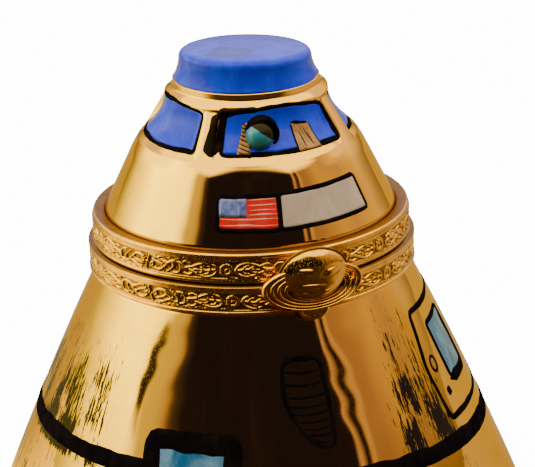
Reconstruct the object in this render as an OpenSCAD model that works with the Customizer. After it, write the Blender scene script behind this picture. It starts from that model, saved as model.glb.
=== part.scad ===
// Hinged porcelain trinket box in the shape of a conical space capsule.
// Millimetres. +Z up, origin on the table under the capsule's axis.
// The clasp faces -Y, the hinge is at +Y, and azimuths turn from -Y towards +X.

/* [Base shell] */
// Height of the parting seam above the table
seam_z = 35.7; // [29:0.1:43]
// Largest radius of the base, at the heat shield's edge
base_edge_r = 30; // [25:0.1:36]
// Height of the heat shield's edge above the table
base_edge_z = 3.2; // [2.8:0.1:4]
// Radius of the rounded heat shield edge
edge_round_r = 1.4; // [1:0.1:1.8]
// How far the base wall bows outwards between neck and edge
base_bulge = 0.35; // [0:0.1:1]
// Porcelain wall of the base
base_wall = 2.6; // [2:0.1:3.5]
// Outer radius of the foot ring
foot_r = 20; // [17:0.5:23]
// Width of the foot ring's flat
foot_w = 2; // [1:0.5:3]
// Depth of the recess inside the foot ring
foot_recess = 0.6; // [0.3:0.1:0.8]

/* [Lid shell] */
// Height of the lid's cone above its rim
lid_cone_h = 7.6; // [6:0.1:9]
// Radius of the lid at its shoulder
shoulder_r = 12; // [10:0.1:14.4]
// Height of the bay zone above the shoulder
bay_h = 4.9; // [4:0.1:6]
// Radius of the neck moulding above the bays
moulding_r = 8.8; // [7.3:0.1:10.6]
// Height of the neck moulding
moulding_h = 1.6; // [1.5:0.1:2.5]
// Porcelain wall of the lid
lid_wall = 2.3; // [1.8:0.1:3]

/* [Cap] */
// Radius of the cap's side
cap_r = 7.1; // [5.9:0.1:8.5]
// How far the cap's foot flares out past its side
cap_flare = 0.6; // [0.3:0.1:0.9]
// Height of the cap, crown left out
cap_h = 2.3; // [1.8:0.1:3.5]
// Rise of the cap's crown
crown_h = 0.9; // [0.5:0.1:1.5]

/* [Bays] */
// Number of bays round the neck
bay_count = 4; // [4:1:6]
// Angle left to each rib between two bays, degrees
rib_a = 9; // [6:1:14]
// Depth of a bay's concave floor, mid height
bay_sag = 0.7; // [0.4:0.1:0.9]

/* [Rims] */
// Height of the base rim's band
base_rim_h = 3.1; // [2.5:0.1:3.6]
// Outer radius of the base rim
base_rim_r = 17.7; // [14.7:0.1:21.3]
// How far the lid rim stands inside the base rim
rim_step = 0.5; // [0.3:0.1:0.8]
// Width of the lid rim's upper ledge, from its outside to the lid's cone
rim_ledge = 1.47; // [1.2:0.01:1.8]
// Height of the lid rim's band
lid_rim_h = 3.1; // [2.5:0.1:3.6]
// Thickness of the brass
brass_t = 0.7; // [0.5:0.05:0.9]
// Porcelain left at the lid's neck, inside its rim
neck_wall = 1.4; // [1:0.1:1.6]

/* [Hinge] */
// Radius of the hinge knuckles
knuckle_r = 1.1; // [0.9:0.05:1.4]
// Radius of the hinge pin
pin_r = 0.5; // [0.4:0.05:0.6]
// Length of the middle knuckle
lid_knuckle_l = 5; // [4:0.5:7]
// Length of each outer knuckle
base_knuckle_l = 3; // [2:0.5:4]

/* [Clasp] */
// Half width of the planet's ring
ring_a = 5.5; // [4.5:0.1:6.5]
// Half height of the planet's ring
ring_b = 2.6; // [2.2:0.1:3.2]
// Width of the ring's flat at its ends
ring_w = 1.9; // [1.2:0.1:2.2]
// Radius of the planet's ball
planet_r = 3.5; // [3:0.05:4]
// How far the ball's centre lies behind the casting
planet_sunk = 1.8; // [1:0.1:2.2]
// Turn of the hand-set clasp from the front
clasp_turn = -2.2; // [-4:0.1:4]
// Thickness of the ring
ring_t = 0.8; // [0.5:0.1:1.2]
// Half width of the catch tab
tab_w = 2.3; // [1.8:0.1:3]

/* [Hidden] */
seam_gap = 0.2;          // open seam between the two rims
seat_gap = 0.1;          // cement layer between porcelain and brass
run_gap = 0.1;           // end play between knuckles
pin_clear = 0.03;        // radial running clearance of the pin
skin_gap = 0.02;         // glaze line under an enamel field
skin_t = 0.12;           // thickness of an enamel field
lip_h = 1.4;             // height of a rim's inner lip
lip_t = 0.5;             // thickness of a rim's inner lip
wall_steps = 10;         // straight steps in a bowed wall
bay_steps = 10;          // straight steps in a bay's concave floor

$fn = 96;

lid_rim_r = base_rim_r - rim_step;
lid_foot_r = lid_rim_r - rim_ledge;
neck_out_r = lid_foot_r - 0.03;                 // the lid's neck, just inside its rim
mouth_r = neck_out_r - neck_wall - seat_gap - lip_t;
cap_foot_r = cap_r + cap_flare;
base_rim_top = seam_z - seam_gap / 2;
base_rim_bottom = base_rim_top - base_rim_h;
lid_rim_bottom = seam_z + seam_gap / 2;
lid_rim_top = lid_rim_bottom + lid_rim_h;
base_neck_r = base_rim_r - brass_t - 0.05;      // the wall meets the rim's lower edge here
shoulder_z = lid_rim_top + lid_cone_h;
bay_top_z = shoulder_z + bay_h;
lid_top_z = bay_top_z + moulding_h;
hinge_y = base_rim_r + knuckle_r + 0.2;
hinge_z = seam_z;
clasp_r = base_rim_r + 0.5;                     // back of the clasp's casting
bay_a = 360 / bay_count - rib_a;                // opening angle of a bay

// Shares along a wall, from 0 to 1.
function shares(n) = [for (i = [0 : n]) i / n];

// Radius of the base's outer wall at height z.
function base_share(z) = (z - base_edge_z) / (base_rim_bottom - base_edge_z);
function base_r(z) = base_edge_r + base_share(z) * (base_neck_r - base_edge_r)
    + 4 * base_bulge * base_share(z) * (1 - base_share(z));

// Radius of the lid's cone at height z.
function lid_r(z) = lid_foot_r + (z - lid_rim_top) / lid_cone_h * (shoulder_r - lid_foot_r);

// Radius of a bay's concave floor at height z.
bay_low_z = shoulder_z + 0.25;
bay_low_r = shoulder_r - 0.3;
bay_high_r = moulding_r - 0.2;
function bay_share(z) = (z - bay_low_z) / (bay_top_z - bay_low_z);
function bay_r(z) = bay_low_r + bay_share(z) * (bay_high_r - bay_low_r)
    - 4 * bay_sag * bay_share(z) * (1 - bay_share(z));

// Heights at even steps from low to high.
function levels(low, high, n) = [for (s = shares(n)) low + s * (high - low)];
function flipped(list) = [for (i = [len(list) - 1 : -1 : 0]) list[i]];

// Points of a rounded corner: centre, radius, first and last angle.
function corner(c, r, a0, a1, n) = [for (s = shares(n)) let (a = a0 + s * (a1 - a0)) c + r * [cos(a), sin(a)]];

// Turns children so that a sector of that angle is centred on an azimuth.
module at_azimuth(az, sector = 0) {
    rotate([0, 0, az - 90 - sector / 2]) children();
}

// Enamel field on a surface of revolution: kind picks the surface under it.
function surface_r(kind, z) = kind == "base" ? base_r(z) : kind == "lid" ? lid_r(z) : bay_r(z);
module enamel(kind, az, width, low, high, steps = 3, gap = skin_gap, t = skin_t) {
    heights = levels(low, high, steps);
    inner = [for (z = heights) [surface_r(kind, z) + gap, z]];
    outer = [for (z = flipped(heights)) [surface_r(kind, z) + gap + t, z]];
    at_azimuth(az, width) rotate_extrude(angle = width) polygon(concat(inner, outer));
}

// ---- Base ----

module base_shell() {
    shield_c = [base_edge_r - edge_round_r * cos(22), base_edge_z - edge_round_r * sin(22)];
    floor_z = foot_recess + base_wall;
    inner_shift = base_wall / cos(24);
    neck_in_r = mouth_r + lip_t + seat_gap;
    collar_r = base_rim_r - brass_t - seat_gap;
    neck_top = base_rim_top - brass_t - seat_gap / 2;
    inner_top = base_rim_bottom - 0.8;
    outer = concat(
        [[0, foot_recess], [foot_r - foot_w, foot_recess], [foot_r - foot_w, 0], [foot_r, 0],
         [(foot_r + base_edge_r) / 2, 0.35]],
        corner(shield_c, edge_round_r, -75, 22, 5),
        [for (z = levels(base_edge_z + 0.6, base_rim_bottom - 0.05, wall_steps)) [base_r(z), z]],
        [[collar_r, base_rim_bottom - 0.05], [collar_r, neck_top], [neck_in_r, neck_top]]
    );
    inner = concat(
        [for (z = flipped(levels(floor_z + 2, inner_top, wall_steps))) [base_r(z) - inner_shift, z]],
        [[base_r(floor_z) - inner_shift - 1.2, floor_z], [0, floor_z]]
    );
    color([0.83, 0.6, 0.22]) rotate_extrude() polygon(concat(outer, inner));
}

// Windows in enamel on the base: azimuths, half widths in degrees, lower and upper heights.
left_window_az = -39;
hatch_az = 54;
back_window_az = 2 * hatch_az - left_window_az;
window_half_a = 12;
window_low = 13;
window_high = 21;
window_border = 1.2;
hatch_half_a = 8.2;
hatch_h = 7.1;
hatch_drop = 5.4;
hatch_high = base_rim_bottom - hatch_drop;
hatch_low = hatch_high - hatch_h;

module window_frame(az, half_a, low, high) {
    border_a = 2 * window_border / base_r(low) * 180 / PI;
    color([0.05, 0.05, 0.06]) difference() {
        enamel("base", az, 2 * half_a, low, high);
        enamel("base", az, 2 * half_a - border_a, low + window_border, high - window_border, 3, 0, 1);
    }
}

module window_pane(az, half_a, low, high) {
    border_a = 2 * (window_border + 0.02) / base_r(low) * 180 / PI;
    color([0.3, 0.6, 0.75]) enamel("base", az, 2 * half_a - border_a,
        low + window_border + 0.02, high - window_border - 0.02);
}

module base_rim() {
    r = base_rim_r;
    low = base_rim_bottom;
    top = base_rim_top;
    color([0.85, 0.6, 0.28]) rotate_extrude() polygon([
        [r - brass_t, low], [r - 0.15, low], [r, low + 0.25], [r, low + 0.5], [r - 0.15, low + 0.65],
        [r - 0.1, low + 1.6], [r - 0.15, top - 0.6], [r - 0.1, top - 0.1], [r - 0.2, top],
        [mouth_r, top], [mouth_r, top - lip_h], [mouth_r + lip_t, top - lip_h],
        [mouth_r + lip_t, top - brass_t], [r - brass_t, top - brass_t]]);
}

// Tongue-shaped outline of the catch, in X and Z, from the seam down.
tab_top = base_rim_top - 0.9;
tab_bottom = base_rim_bottom - 0.9;
module catch_tab() {
    color([0.8, 0.55, 0.25]) rotate([0, 0, clasp_turn]) intersection() {
        difference() {
            cylinder(r = base_rim_r + 0.35, h = seam_z + 5);
            translate([0, 0, -1]) cylinder(r = base_rim_r + 0.05, h = seam_z + 7);
        }
        rotate([90, 0, 0]) linear_extrude(30)
            polygon(concat([[tab_w, tab_top], [-tab_w, tab_top]],
                [for (s = shares(12)) [-tab_w * cos(180 * s), tab_bottom + 1 - sin(180 * s)]]));
    }
}

// ---- Lid ----

module lid_profile() {
    neck_low = lid_rim_bottom + brass_t + seat_gap / 2;
    neck_in_r = mouth_r + lip_t + seat_gap;
    ceiling_z = lid_top_z - 1;
    polygon([
        [neck_in_r, neck_low], [neck_out_r, neck_low], [neck_out_r, lid_rim_top], [shoulder_r, shoulder_z],
        [moulding_r, bay_top_z], [moulding_r - 0.25, bay_top_z + 0.5], [moulding_r - 0.55, bay_top_z + 1.1],
        [cap_foot_r, lid_top_z], [0, lid_top_z],
        [0, ceiling_z], [cap_foot_r - lid_wall, ceiling_z - 0.3], [moulding_r - lid_wall - 0.3, bay_top_z],
        [bay_r(shoulder_z + 2) - lid_wall, shoulder_z + 2], [shoulder_r - lid_wall - 0.3, shoulder_z - 0.3],
        [lid_foot_r - lid_wall, lid_rim_top], [neck_in_r, lid_rim_bottom + lip_h + seat_gap]]);
}

// Cutter of one bay, from its concave floor outwards.
module bay_cut(az) {
    heights = levels(bay_low_z, bay_top_z, bay_steps);
    at_azimuth(az, bay_a) rotate_extrude(angle = bay_a)
        polygon(concat([for (z = heights) [bay_r(z), z]], [[shoulder_r + 3, bay_top_z], [shoulder_r + 3, bay_low_z]]));
}

module lid_shell() {
    color([0.85, 0.62, 0.24]) difference() {
        rotate_extrude() lid_profile();
        for (i = [0 : bay_count - 1]) bay_cut(i * 360 / bay_count);
    }
}

module bay_panel(index) {
    color([0.16, 0.33, 0.85]) enamel("bay", index * 360 / bay_count, bay_a - 3, bay_low_z + 0.3, bay_top_z - 0.25, bay_steps);
}

module top_cap() {
    low = lid_top_z;
    color([0.12, 0.36, 0.85]) rotate_extrude() polygon(concat(
        [[0, low + 0.02], [cap_foot_r, low + 0.02], [cap_r + 0.25, low + 0.6], [cap_r, low + 1.2]],
        corner([cap_r - 0.9, low + cap_h - 0.7], 0.85, 0, 62, 5),
        [[cap_r / 2, low + cap_h + 0.65 * crown_h], [cap_r / 4, low + cap_h + 0.9 * crown_h], [0, low + cap_h + crown_h]]));
}

// Round port in the front bay: a dark collar with a turquoise ball set in it.
port_az = -13.5;
port_z = bay_low_z + 2.8;
port_r = 1.7;
ball_r = 1.5;
port_y = bay_r(port_z);
// Everything under the enamel of the bays, a glaze line included.
module bay_skin() {
    rotate_extrude() polygon(concat([[0, bay_low_z]], [for (z = levels(bay_low_z, bay_top_z, bay_steps))
        [bay_r(z) + 2 * skin_gap + skin_t, z]], [[0, bay_top_z]]));
}
module port_collar() {
    color([0.1, 0.09, 0.09]) difference() {
        rotate([0, 0, port_az]) translate([0, 0, port_z]) rotate([90, 0, 0]) cylinder(r = port_r, h = port_y + 0.75);
        rotate([0, 0, port_az]) translate([0, -port_y - 0.45, port_z]) sphere(r = ball_r + 0.02);
        bay_skin();
    }
}
module port_ball() {
    color([0.13, 0.55, 0.66]) difference() {
        rotate([0, 0, port_az]) translate([0, -port_y - 0.45, port_z]) sphere(r = ball_r);
        bay_skin();
    }
}

// Gilded boxes standing on the front bay's floor: azimuth, width in degrees, height.
gear = [[-26.6, 4.6, 3], [14.5, 15, 2.9]];
module bay_gear(which) {
    color([0.75, 0.5, 0.2]) enamel("bay", which[0], which[1], bay_low_z + 0.35, bay_low_z + 0.35 + which[2], 4,
        skin_gap + skin_t + 0.02, 0.3);
}

// Flag and blank name plate on the lid's front.
plate_low = lid_rim_top + 1.85;
plate_high = lid_rim_top + 4.95;
flag_az = -23.2;
flag_a = 26;
plate_az = 12;
plate_a = 43;
module flag_panel() {
    color([0.8, 0.16, 0.1]) enamel("lid", flag_az, flag_a, plate_low, plate_high, 1);
}
module name_plate() {
    color([0.78, 0.74, 0.7]) enamel("lid", plate_az, plate_a, plate_low, plate_high, 1);
}

module lid_rim() {
    r = lid_rim_r;
    low = lid_rim_bottom;
    top = lid_rim_top;
    color([0.87, 0.62, 0.3]) rotate_extrude() polygon([
        [mouth_r, low], [r - 0.15, low], [r, low + 0.2], [r - 0.05, low + 0.5], [r + 0.02, low + 1.3],
        [r - 0.1, top - 0.75], [r - 0.25, top - 0.5], [r - 0.3, top - 0.2], [r - 0.5, top],
        [lid_foot_r + seat_gap, top + 0.02], [lid_foot_r + seat_gap, top - brass_t + 0.1], [r - brass_t - 0.05, top - brass_t],
        [r - brass_t - 0.05, low + brass_t], [mouth_r + lip_t, low + brass_t],
        [mouth_r + lip_t, low + lip_h], [mouth_r, low + lip_h]]);
}

// Everything outside a cylinder of radius r.
module outside(r) {
    difference() {
        children();
        translate([0, 0, -1]) cylinder(r = r, h = 2 * seam_z);
    }
}

planet_z = seam_z + 0.8;
planet_y = clasp_r - planet_sunk;
module clasp_planet() {
    color([0.75, 0.5, 0.2]) rotate([0, 0, clasp_turn])
        outside(clasp_r) translate([0, -planet_y, planet_z]) sphere(r = planet_r);
}

function oval(a, b, n) = [for (i = [0 : n - 1]) [a * cos(360 * i / n), b * sin(360 * i / n)]];
module clasp_ring() {
    color([0.87, 0.62, 0.3]) rotate([0, 0, clasp_turn]) difference() {
        intersection() {
            difference() {
                cylinder(r = clasp_r + ring_t, h = 2 * seam_z);
                translate([0, 0, -1]) cylinder(r = clasp_r, h = 2 * seam_z + 2);
            }
            translate([0, 0, seam_z - 0.2]) rotate([90, 0, 0]) linear_extrude(30) difference() {
                polygon(oval(ring_a, ring_b, 40));
                polygon(oval(ring_a - ring_w, ring_b - ring_w * ring_b / ring_a, 40));
            }
        }
        translate([0, -planet_y, planet_z]) sphere(r = planet_r + 0.02);
    }
}

// Block that carries the clasp on the lid's rim.
module clasp_mount() {
    low = lid_rim_bottom + 0.25;
    color([0.8, 0.55, 0.25]) rotate([0, 0, clasp_turn]) intersection() {
        difference() {
            translate([0, 0, low]) cylinder(r = clasp_r - 0.02, h = lid_rim_h - 0.9);
            cylinder(r = lid_rim_r + 0.05, h = 2 * seam_z);
        }
        translate([-tab_w, -clasp_r - 1, low]) cube([2 * tab_w, 4, lid_rim_h]);
    }
}

// ---- Hinge ----

module knuckle(x0, l) {
    translate([x0, hinge_y, hinge_z]) rotate([0, 90, 0]) cylinder(r = knuckle_r, h = l);
}
module pin_bore() {
    translate([-20, hinge_y, hinge_z]) rotate([0, 90, 0]) cylinder(r = pin_r + pin_clear, h = 40);
}
// Leaf from the rim to the barrel, a YZ outline swept along X.
module leaf(x0, l, outline) {
    translate([x0, 0, 0]) rotate([90, 0, 90]) linear_extrude(l) polygon(outline);
}

module hinge_leaf_lid() {
    x0 = -lid_knuckle_l / 2;
    color([0.8, 0.55, 0.25]) difference() {
        union() {
            knuckle(x0, lid_knuckle_l);
            leaf(x0, lid_knuckle_l, [[lid_rim_r - 1.5, seam_z + 0.3], [lid_rim_r - 1.5, seam_z + 2.6],
                [lid_rim_r + 0.7, seam_z + 2.6], [hinge_y - 0.3, seam_z + 1], [hinge_y, seam_z + 0.6],
                [hinge_y, seam_z], [hinge_y - 0.9, seam_z + 0.3]]);
        }
        pin_bore();
        cylinder(r = lid_rim_r + 0.05, h = 2 * seam_z);
    }
}

module hinge_leaf_base() {
    x0 = lid_knuckle_l / 2 + run_gap;
    color([0.8, 0.55, 0.25]) for (x = [x0, -x0 - base_knuckle_l]) difference() {
        union() {
            knuckle(x, base_knuckle_l);
            leaf(x, base_knuckle_l, [[base_rim_r - 2.5, seam_z - 0.4], [base_rim_r - 2.5, seam_z - 2.4],
                [base_rim_r + 0.5, seam_z - 2.4], [hinge_y - 0.3, seam_z - 1], [hinge_y, seam_z - 0.6],
                [hinge_y, seam_z], [hinge_y - 0.9, seam_z - 0.4]]);
        }
        pin_bore();
        cylinder(r = base_rim_r + 0.03, h = 2 * seam_z);
    }
}

module hinge_pin() {
    end_x = lid_knuckle_l / 2 + run_gap + base_knuckle_l;
    head_r = pin_r + 0.25;
    color([0.75, 0.5, 0.2]) {
        translate([-end_x - head_r, hinge_y, hinge_z]) rotate([0, 90, 0]) cylinder(r = pin_r, h = 2 * (end_x + head_r));
        for (side = [-1, 1]) translate([side * (end_x + head_r + 0.05), hinge_y, hinge_z]) sphere(r = head_r);
    }
}

base_shell();
base_rim();
catch_tab();
hinge_leaf_base();
hinge_pin();
window_frame(left_window_az, window_half_a, window_low, window_high);  // window_frame_left
window_pane(left_window_az, window_half_a, window_low, window_high);  // window_pane_left
window_frame(back_window_az, window_half_a, window_low, window_high);  // window_frame_back
window_pane(back_window_az, window_half_a, window_low, window_high);  // window_pane_back
window_frame(hatch_az, hatch_half_a, hatch_low, hatch_high);  // hatch_window_frame
window_pane(hatch_az, hatch_half_a, hatch_low, hatch_high);  // hatch_window_pane
lid_shell();
lid_rim();
top_cap();
bay_panel(0);  // bay_panel_front
bay_panel(1);  // bay_panel_right
bay_panel(2);  // bay_panel_back
bay_panel(3);  // bay_panel_left
port_collar();
port_ball();
bay_gear(gear[0]);  // bay_gear_left
bay_gear(gear[1]);  // bay_gear_right
flag_panel();
name_plate();
clasp_mount();
clasp_planet();
clasp_ring();
hinge_leaf_lid();
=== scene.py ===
import math

import bmesh
import bpy
import numpy as np
from mathutils import Matrix, Vector, noise


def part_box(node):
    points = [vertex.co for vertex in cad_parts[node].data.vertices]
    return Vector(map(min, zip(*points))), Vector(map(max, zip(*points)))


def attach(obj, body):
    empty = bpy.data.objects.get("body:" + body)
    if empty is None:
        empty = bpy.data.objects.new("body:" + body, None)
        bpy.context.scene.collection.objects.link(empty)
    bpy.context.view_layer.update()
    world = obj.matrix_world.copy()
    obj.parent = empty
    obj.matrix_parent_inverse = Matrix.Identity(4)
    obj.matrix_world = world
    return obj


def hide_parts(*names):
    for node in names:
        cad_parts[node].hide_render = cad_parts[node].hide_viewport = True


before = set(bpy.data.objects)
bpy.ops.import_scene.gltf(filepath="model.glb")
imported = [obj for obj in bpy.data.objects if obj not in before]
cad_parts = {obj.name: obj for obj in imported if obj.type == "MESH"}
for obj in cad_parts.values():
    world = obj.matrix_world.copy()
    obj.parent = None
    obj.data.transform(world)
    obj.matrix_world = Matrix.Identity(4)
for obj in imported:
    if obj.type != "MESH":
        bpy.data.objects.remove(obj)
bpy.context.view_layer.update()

mm = 0.001


# sizes taken from the frame, in millimetres

def nodeBox(node):
    low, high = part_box(node)
    return low / mm, high / mm


_, baseHigh = nodeBox("base_shell")
lidLow, lidHigh = nodeBox("lid_shell")
baseRimLow, baseRimHigh = nodeBox("base_rim")
lidRimLow, lidRimHigh = nodeBox("lid_rim")
capLow, capHigh = nodeBox("top_cap")
frontBayLow, frontBayHigh = nodeBox("bay_panel_front")
ringLow, ringHigh = nodeBox("clasp_ring")
planetLow, planetHigh = nodeBox("clasp_planet")
tabLow, tabHigh = nodeBox("catch_tab")

body = {
    "seamZ": (baseRimHigh.z + lidRimLow.z) / 2,
    "edgeR": baseHigh.x,             # largest radius, at the rounded heat shield edge
    "edgeZ": 3.2,
    "edgeRound": 1.4,
    "bulge": 0.35,                   # how far the base wall bows outwards
    "wall": 2.6,
    "footR": 20.0,
    "footWidth": 2.0,
    "footRecess": 0.6,
    "brass": 0.7,
    "shoulderR": 12.0,
    "shoulderSoft": 0.13,            # how far the cone rounds inwards below the shoulder
    "shoulderFrom": 1.3,             # height over which it does
    "mouldingR": 8.8,
    "bayDepth": 0.7,
    "bayArch": 0.75,                 # rise of a bay's upper edge in its middle
    "ribAngle": 9.0,                 # angle of a rib between two bays
    "ribSoft": 2.2,                  # angle over which a bay's left side wall rises
    "ribSofter": 3.4,                # how many times slower its right side wall does
    "lidWall": 2.3,
}
rimR = baseRimHigh.x
lidFootR = lidHigh.x
neckR = rimR - body["brass"] - 0.05
neckZ = baseRimLow.z
coneLowZ = lidRimHigh.z
lidTopZ = lidHigh.z
bayTopZ = frontBayHigh.z + 0.25
bayLowZ = frontBayLow.z - 0.3
shoulderZ = bayLowZ - 0.25
capFootR = capHigh.x
wallEdgeR = body["edgeR"] - 0.1


def mix(a, b, t):
    return a + (b - a) * t


def smooth(low, high, x):
    t = min(max((x - low) / (high - low), 0.0), 1.0)
    return t * t * (3 - 2 * t)


def baseRadius(z):
    t = (z - body["edgeZ"]) / (neckZ - body["edgeZ"])
    return mix(wallEdgeR, neckR, t) + 4 * body["bulge"] * t * (1 - t)


def ribRadius(z):                    # the lid outside its bays
    soft = body["shoulderSoft"]
    if z <= shoulderZ:
        t = max(0.0, 1 - (shoulderZ - z) / body["shoulderFrom"])
        return mix(lidFootR, body["shoulderR"], (z - coneLowZ) / (shoulderZ - coneLowZ)) - soft * t * t
    if z <= bayTopZ:
        return mix(body["shoulderR"] - soft, body["mouldingR"], (z - shoulderZ) / (bayTopZ - shoulderZ))
    return mix(body["mouldingR"], capFootR + 0.12, smooth(0.05, 0.66, (z - bayTopZ) / (lidTopZ - bayTopZ)))


def bayRadius(z):                    # the concave floor of a bay
    t = (z - bayLowZ) / (bayTopZ - bayLowZ)
    return mix(body["shoulderR"] - 0.3, body["mouldingR"] - 0.2, t) - 4 * body["bayDepth"] * t * (1 - t)


def bayShare(azimuth, z):            # 1 on a bay's floor, 0 on a rib
    fromCentre = abs((azimuth + 45) % 90 - 45)
    soft = body["ribSoft"] * (body["ribSofter"] if (azimuth + 45) % 90 > 45 else 1)
    side = 1 - smooth(45 - body["ribAngle"] / 2 - soft, 45 - body["ribAngle"] / 2 + 0.3, fromCentre)
    low = smooth(bayLowZ - 0.12, bayLowZ + 0.25, z)
    arch = bayTopZ - 0.25 + body["bayArch"] * (1 - (fromCentre / 41) ** 2)
    high = 1 - smooth(arch - 0.2, arch + 0.15, z)
    return side * low * high


def unevenness(azimuth, z):          # the slow waviness of hand-finished porcelain
    a = math.radians(azimuth)
    p = Vector((math.sin(a) * 1.7, -math.cos(a) * 1.7, z * 0.055))
    q = Vector((math.sin(a) * 4.1, -math.cos(a) * 4.1, z * 0.16 + 7))
    return 0.07 * noise.noise(p) + 0.022 * noise.noise(q)


def shellRadius(azimuth, z):
    if z < body["seamZ"]:
        return baseRadius(z) + unevenness(azimuth, z) * smooth(neckZ, neckZ - 3, z)
    r = ribRadius(z)
    share = bayShare(azimuth, z)
    if share > 0:
        r = mix(r, min(r, bayRadius(z)), share)
    return r + unevenness(azimuth, z) * smooth(coneLowZ, coneLowZ + 2, z) * 0.8


def onShell(azimuth, z, lift=0.0):
    a = math.radians(azimuth)
    r = shellRadius(azimuth, z) + lift
    return Vector((r * math.sin(a), -r * math.cos(a), z))


# mesh helpers

def arc(centre, radius, start, end, count):
    points = []
    for i in range(count + 1):
        a = math.radians(mix(start, end, i / count))
        points.append((centre[0] + radius * math.cos(a), centre[1] + radius * math.sin(a)))
    return points


def between(low, high, count):
    return [mix(low, high, i / count) for i in range(count + 1)]


sectors = 12                         # every lathe's steps are a multiple of this


def lathe(outline, steps, closed=False):
    # spins one sector of the outline, then spins copies of that sector: much quicker than one long spin
    bm = bmesh.new()
    verts = [bm.verts.new((r, 0, z)) for r, z in outline]
    edges = [bm.edges.new(pair) for pair in zip(verts, verts[1:])]
    if closed:
        edges.append(bm.edges.new((verts[-1], verts[0])))
    turn = 2 * math.pi / sectors
    bmesh.ops.spin(bm, geom=verts + edges, cent=(0, 0, 0), axis=(0, 0, 1), angle=turn, steps=steps // sectors)
    bmesh.ops.spin(bm, geom=bm.verts[:] + bm.edges[:] + bm.faces[:], cent=(0, 0, 0), axis=(0, 0, 1),
                   angle=turn * (sectors - 1), steps=sectors - 1, use_duplicate=True)
    bmesh.ops.remove_doubles(bm, verts=bm.verts, dist=1e-4)
    bmesh.ops.recalc_face_normals(bm, faces=bm.faces)
    return bm


def azimuthOf(co):
    return math.degrees(math.atan2(co.x, -co.y))


def radiusOf(co):
    return math.hypot(co.x, co.y)


def faceFront(bm, sizes=None, z=0.0):
    # turns what was spun round Z so that its axis points out along -Y, then stretches and lifts it
    bmesh.ops.transform(bm, matrix=Matrix.Rotation(math.pi / 2, 4, "X"), verts=bm.verts)
    if sizes:
        bmesh.ops.scale(bm, vec=sizes, verts=bm.verts)
    bmesh.ops.translate(bm, vec=(0, 0, z), verts=bm.verts)


def meshObject(bm, name, materials):
    mesh = bpy.data.meshes.new(name)
    bm.to_mesh(mesh)
    bm.free()
    for material in materials:
        mesh.materials.append(material)
    made = bpy.data.objects.new(name, mesh)
    bpy.context.scene.collection.objects.link(made)
    return made


def place(bm, name, rides, materials, nodes, flat=False):
    # millimetres to metres, and on to the body that carries the piece
    bmesh.ops.recalc_face_normals(bm, faces=bm.faces)
    bmesh.ops.scale(bm, vec=(mm, mm, mm), verts=bm.verts)
    piece = meshObject(bm, name, materials)
    for polygon in piece.data.polygons:
        polygon.use_smooth = not flat
    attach(piece, rides)
    if nodes:
        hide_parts(*nodes)


# shader helpers

class Shader:
    def __init__(self, tree):
        self.tree = tree
        self.tree.nodes.clear()

    def add(self, kind, **inputs):
        node = self.tree.nodes.new(kind)
        for key, value in inputs.items():
            if hasattr(node, key) and key not in node.inputs:
                setattr(node, key, value)
            else:
                self.feed(node.inputs[key.replace("_", " ")], value)
        return node

    def feed(self, socket, value):
        if isinstance(value, bpy.types.NodeSocket):
            self.tree.links.new(value, socket)
        else:
            socket.default_value = value

    def math(self, operation, *values, kind="ShaderNodeMath"):
        node = self.add(kind, operation=operation)
        for socket, value in zip(node.inputs, values):
            self.feed(socket, value)
        return node.outputs[0]

    def times(self, *values):
        return self.math("MULTIPLY", *values)

    def plus(self, *values):
        return self.math("ADD", *values)

    def minus(self, *values):
        return self.math("SUBTRACT", *values)

    def vector(self, operation, *values):
        return self.math(operation, *values, kind="ShaderNodeVectorMath")

    def azimuth(self, parts):        # in degrees, from the parts of a place or a direction
        return self.math("DEGREES", self.math("ARCTAN2", parts[0], self.times(parts[1], -1.0)))

    def range(self, value, low, high, outLow=0.0, outHigh=1.0, soft=True):
        node = self.tree.nodes.new("ShaderNodeMapRange")
        node.interpolation_type = "SMOOTHSTEP" if soft else "LINEAR"
        for socket, v in zip(node.inputs, (value, low, high, outLow, outHigh)):
            self.feed(socket, v)
        return node.outputs[0]

    def blend(self, factor, a, b):
        node = self.add("ShaderNodeMix", data_type="RGBA")
        for index, value in ((0, factor), (6, rgba(a)), (7, rgba(b))):
            self.feed(node.inputs[index], value)
        return node.outputs[2]

    def ramp(self, value, stops):
        node = self.tree.nodes.new("ShaderNodeValToRGB")
        self.feed(node.inputs[0], value)
        elements = node.color_ramp.elements
        while len(elements) > 1:
            elements.remove(elements[-1])
        elements[0].position, elements[0].color = stops[0][0], rgba(stops[0][1])
        for position, colour in stops[1:]:
            elements.new(position).color = rgba(colour)
        return node.outputs[0]

    def noise(self, vector, scale, detail=2.0, roughness=0.5, distortion=0.0):
        return self.add("ShaderNodeTexNoise", Vector=vector, Scale=scale, Detail=detail, Roughness=roughness,
                        Distortion=distortion).outputs[0]

    def millimetres(self):
        coords = self.tree.nodes.new("ShaderNodeTexCoord")
        return self.vector("MULTIPLY", coords.outputs["Object"], (1 / mm, 1 / mm, 1 / mm))


def rgba(colour):
    return (*colour, 1.0) if isinstance(colour, tuple) and len(colour) == 3 else colour


def makeGroup(name, inputs, outputs):
    tree = bpy.data.node_groups.new(name, "ShaderNodeTree")
    tree.interface.new_socket(name="Vector", in_out="INPUT", socket_type="NodeSocketVector")
    for label, value in inputs.items():
        socket = tree.interface.new_socket(name=label, in_out="INPUT", socket_type="NodeSocketFloat")
        socket.default_value = value
    for label, kind in outputs.items():
        tree.interface.new_socket(name=label, in_out="OUTPUT", socket_type="NodeSocket" + kind)
    shader = Shader(tree)
    shader.source = tree.nodes.new("NodeGroupInput")
    shader.result = tree.nodes.new("NodeGroupOutput")
    return shader


def useGroup(shader, group, **inputs):
    node = shader.tree.nodes.new("ShaderNodeGroup")
    node.node_tree = group
    for key, value in inputs.items():
        shader.feed(node.inputs[key], value)
    return node.outputs


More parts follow.
